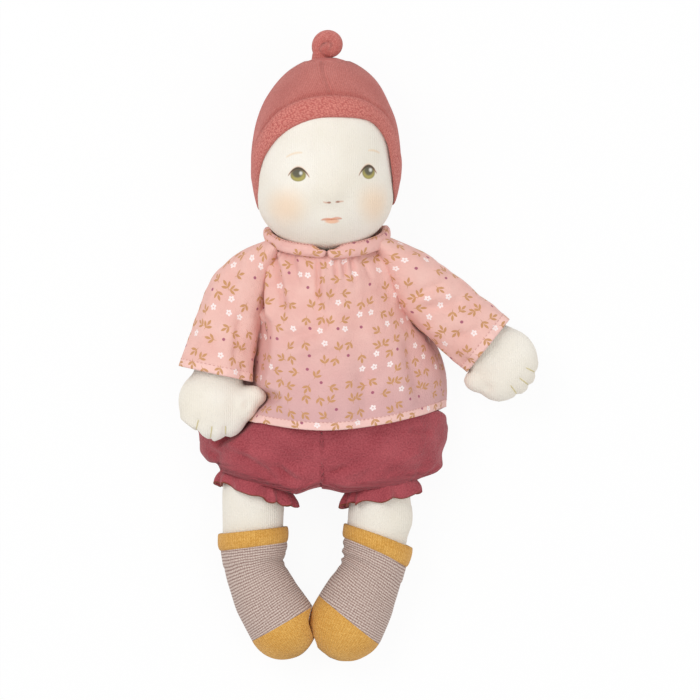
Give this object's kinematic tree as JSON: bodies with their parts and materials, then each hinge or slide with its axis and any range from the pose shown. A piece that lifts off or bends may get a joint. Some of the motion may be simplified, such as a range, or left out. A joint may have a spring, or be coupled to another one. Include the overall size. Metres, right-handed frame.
{
  "type": "cloth doll",
  "caption": "Soft cloth baby doll with a knitted knot cap, gathered print blouse, frilled bloomers and striped socks, lying on its back",
  "frame": {"origin": "On the back of the blouse, where the doll rests on the surface it lies on", "axes": "+X to the doll's own left hand, +Y to the crown of the head, +Z out of the doll's front (up as it lies)"},
  "size_m": [0.1884, 0.3334, 0.0847],
  "materials": {
    "skin": "cream cotton jersey, close and smooth",
    "coral_knit": "fine coral-rose cotton knit, matt",
    "pink_gauze": "thin printed cotton gauze, matt",
    "raspberry_gauze": "crinkled double gauze, matt",
    "striped_knit": "fine sock knit with narrow mauve and pale stripes",
    "mustard_knit": "mustard sock knit, matt",
    "elastic": "narrow woven elastic tape, hidden in its channel"
  },
  "bodies": {
    "torso": {"torso": "skin", "blouse_body": "pink_gauze", "right_collar": "pink_gauze", "left_collar": "pink_gauze", "bloomers_right": "raspberry_gauze", "bloomers_left": "raspberry_gauze", "waist_elastic": "elastic"},
    "neck": {"neck": "skin"},
    "head": {"head": "skin"},
    "cap": {"cap_crown": "coral_knit", "cap_brim": "coral_knit", "cap_knot": "coral_knit"},
    "right_arm": {"right_arm": "skin", "right_sleeve": "pink_gauze"},
    "left_arm": {"left_arm": "skin", "left_sleeve": "pink_gauze"},
    "right_leg": {"right_leg": "skin", "right_leg_elastic": "elastic", "right_frill": "raspberry_gauze", "right_sock_cuff": "mustard_knit", "right_sock_leg": "striped_knit", "right_sock_toe": "mustard_knit"},
    "left_leg": {"left_leg": "skin", "left_leg_elastic": "elastic", "left_frill": "raspberry_gauze", "left_sock_cuff": "mustard_knit", "left_sock_leg": "striped_knit", "left_sock_toe": "mustard_knit"}
  },
  "joints": [
    {"name": "head_turn", "type": "hinge", "parent": "torso", "child": "neck", "pos_m": [0, 0.045, 0.043], "axis": [0, 1, 0], "range_deg": [-60, 60]},
    {"name": "head_nod", "type": "hinge", "parent": "neck", "child": "head", "pos_m": [0, 0.088, 0.043], "axis": [1, 0, 0], "range_deg": [-8, 15]},
    {"name": "cap_pull", "type": "slide", "parent": "head", "child": "cap", "axis": [0, 1, 0], "range_m": [0, 0.11]},
    {"name": "right_arm_swing", "type": "hinge", "parent": "torso", "child": "right_arm", "pos_m": [-0.0435, 0.032, 0.033], "axis": [0, 0, -1], "range_deg": [0, 100]},
    {"name": "left_arm_swing", "type": "hinge", "parent": "torso", "child": "left_arm", "pos_m": [0.0435, 0.0365, 0.033], "axis": [0, 0, 1], "range_deg": [0, 60]},
    {"name": "right_leg_lift", "type": "hinge", "parent": "torso", "child": "right_leg", "pos_m": [-0.0379, -0.062, 0.027], "axis": [-1, 0, 0], "range_deg": [0, 80], "deforming": ["bloomers_right"]},
    {"name": "left_leg_lift", "type": "hinge", "parent": "torso", "child": "left_leg", "pos_m": [0.0297, -0.062, 0.027], "axis": [-1, 0, 0], "range_deg": [0, 80], "deforming": ["bloomers_left"]}
  ]
}
